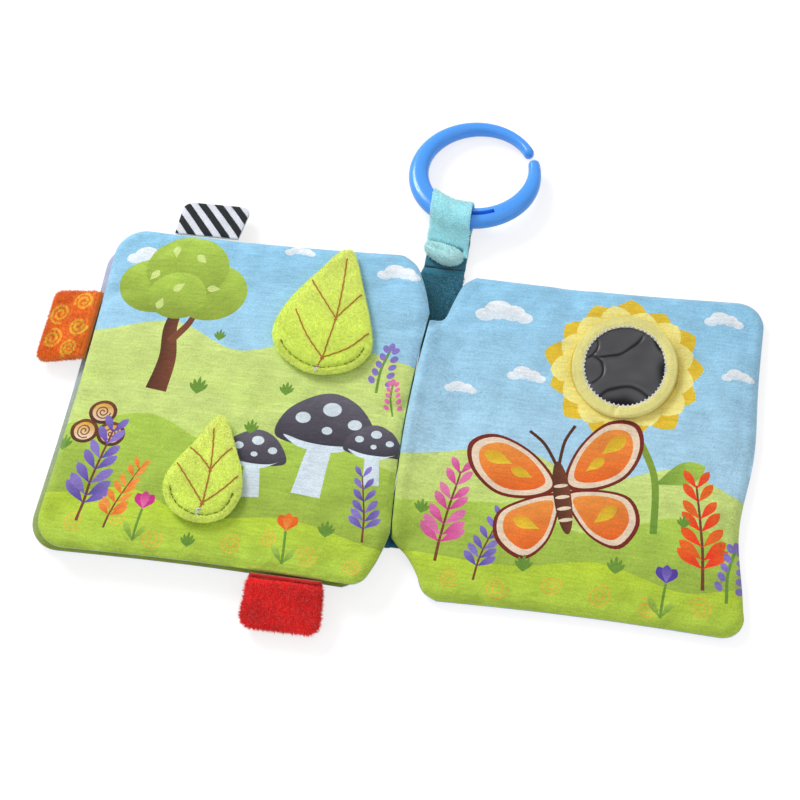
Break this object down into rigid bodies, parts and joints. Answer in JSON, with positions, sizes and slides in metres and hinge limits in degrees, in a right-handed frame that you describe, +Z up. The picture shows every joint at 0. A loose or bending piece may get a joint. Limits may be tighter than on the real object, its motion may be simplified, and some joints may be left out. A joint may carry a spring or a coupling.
{
  "type": "plush book",
  "caption": "Soft cloth baby book lying open, with padded pages, leaf flaps to lift, a film mirror, loop tags and a clip-on ring held by a strap.",
  "frame": {"origin": "middle of the spine's flat underside, on the surface that the open book lies on", "axes": "+X to the reader's right, across the open pages; +Y towards the top of the pages, where the ring hangs; +Z up"},
  "size_m": [0.3277, 0.2682, 0.0189],
  "materials": {
    "meadow_cloth": "printed velour cloth in greens",
    "lavender_cloth": "printed velour cloth in lavender",
    "sky_cloth": "printed velour cloth in sky blue and greens",
    "spine_cloth": "plain teal cloth",
    "wadding": "white polyester wadding",
    "leaf_plush": "lime green plush with brown stitched veins",
    "rim_binding": "pale yellow binding tape",
    "mirror_film": "silvered plastic film, slightly creased",
    "mirror_backing": "thin foam sheet",
    "ring_plastic": "glossy moulded plastic",
    "strap_plush": "teal plush",
    "strap_cloth": "dark teal cloth",
    "stripe_cloth": "cloth with black and white diagonal stripes",
    "orange_plush": "orange plush with yellow swirls",
    "red_plush": "long-pile red plush"
  },
  "bodies": {
    "front_cover": {"front_cover_inner_cloth": "meadow_cloth", "front_cover_outer_cloth": "lavender_cloth", "front_cover_wadding": "wadding", "spine_outer_cloth": "spine_cloth", "spine_inner_cloth": "sky_cloth", "strap_anchor": "strap_cloth"},
    "page": {"page_front_cloth": "sky_cloth", "page_back_cloth": "meadow_cloth", "page_wadding": "wadding"},
    "back_cover": {"back_cover_inner_cloth": "sky_cloth", "back_cover_outer_cloth": "lavender_cloth", "back_cover_wadding": "wadding", "mirror_rim_binding": "rim_binding", "mirror_film": "mirror_film", "mirror_backing": "mirror_backing"},
    "large_leaf": {"large_leaf_front_cloth": "leaf_plush", "large_leaf_back_cloth": "leaf_plush", "large_leaf_wadding": "wadding"},
    "small_leaf": {"small_leaf_front_cloth": "leaf_plush", "small_leaf_back_cloth": "leaf_plush", "small_leaf_wadding": "wadding"},
    "strap": {"strap_loop": "strap_plush", "strap_hem": "strap_plush"},
    "ring": {"ring": "ring_plastic"},
    "stripe_tag": {"stripe_tag": "stripe_cloth"},
    "swirl_tag": {"swirl_tag": "orange_plush"},
    "red_tag": {"red_tag": "red_plush"}
  },
  "joints": [
    {"name": "page_turn", "type": "hinge", "parent": "front_cover", "child": "page", "pos_m": [0, 0, 0.0152], "axis": [0, 1, 0], "range_deg": [0, 180]},
    {"name": "back_cover_close", "type": "hinge", "parent": "front_cover", "child": "back_cover", "pos_m": [0, 0, 0.0152], "axis": [0, 1, 0], "range_deg": [-180, 0]},
    {"name": "large_leaf_lift", "type": "hinge", "parent": "page", "child": "large_leaf", "pos_m": [-0.0486, 0.0129, 0.017], "axis": [1, 0, 0], "range_deg": [0, 180]},
    {"name": "small_leaf_lift", "type": "hinge", "parent": "page", "child": "small_leaf", "pos_m": [-0.0864, -0.063, 0.017], "axis": [1, 0, 0], "range_deg": [0, 180]},
    {"name": "strap_lift", "type": "hinge", "parent": "front_cover", "child": "strap", "pos_m": [0, 0.08285, 0.0029], "axis": [1, 0, 0], "range_deg": [0, 80]},
    {"name": "ring_swing", "type": "hinge", "parent": "strap", "child": "ring", "pos_m": [-0.0014, 0.1099, 0.0093], "axis": [0.9409, -0.3387, 0], "range_deg": [-45, 60]},
    {"name": "stripe_tag_flex", "type": "hinge", "parent": "page", "child": "stripe_tag", "pos_m": [-0.115, 0.0821, 0.0113], "axis": [1, 0, 0], "range_deg": [0, 60]},
    {"name": "swirl_tag_flex", "type": "hinge", "parent": "page", "child": "swirl_tag", "pos_m": [-0.1571, 0.029, 0.0113], "axis": [0, 1, 0], "range_deg": [0, 60]},
    {"name": "red_tag_flex", "type": "hinge", "parent": "page", "child": "red_tag", "pos_m": [-0.0435, -0.0805, 0.0113], "axis": [-1, 0, 0], "range_deg": [0, 60]}
  ]
}
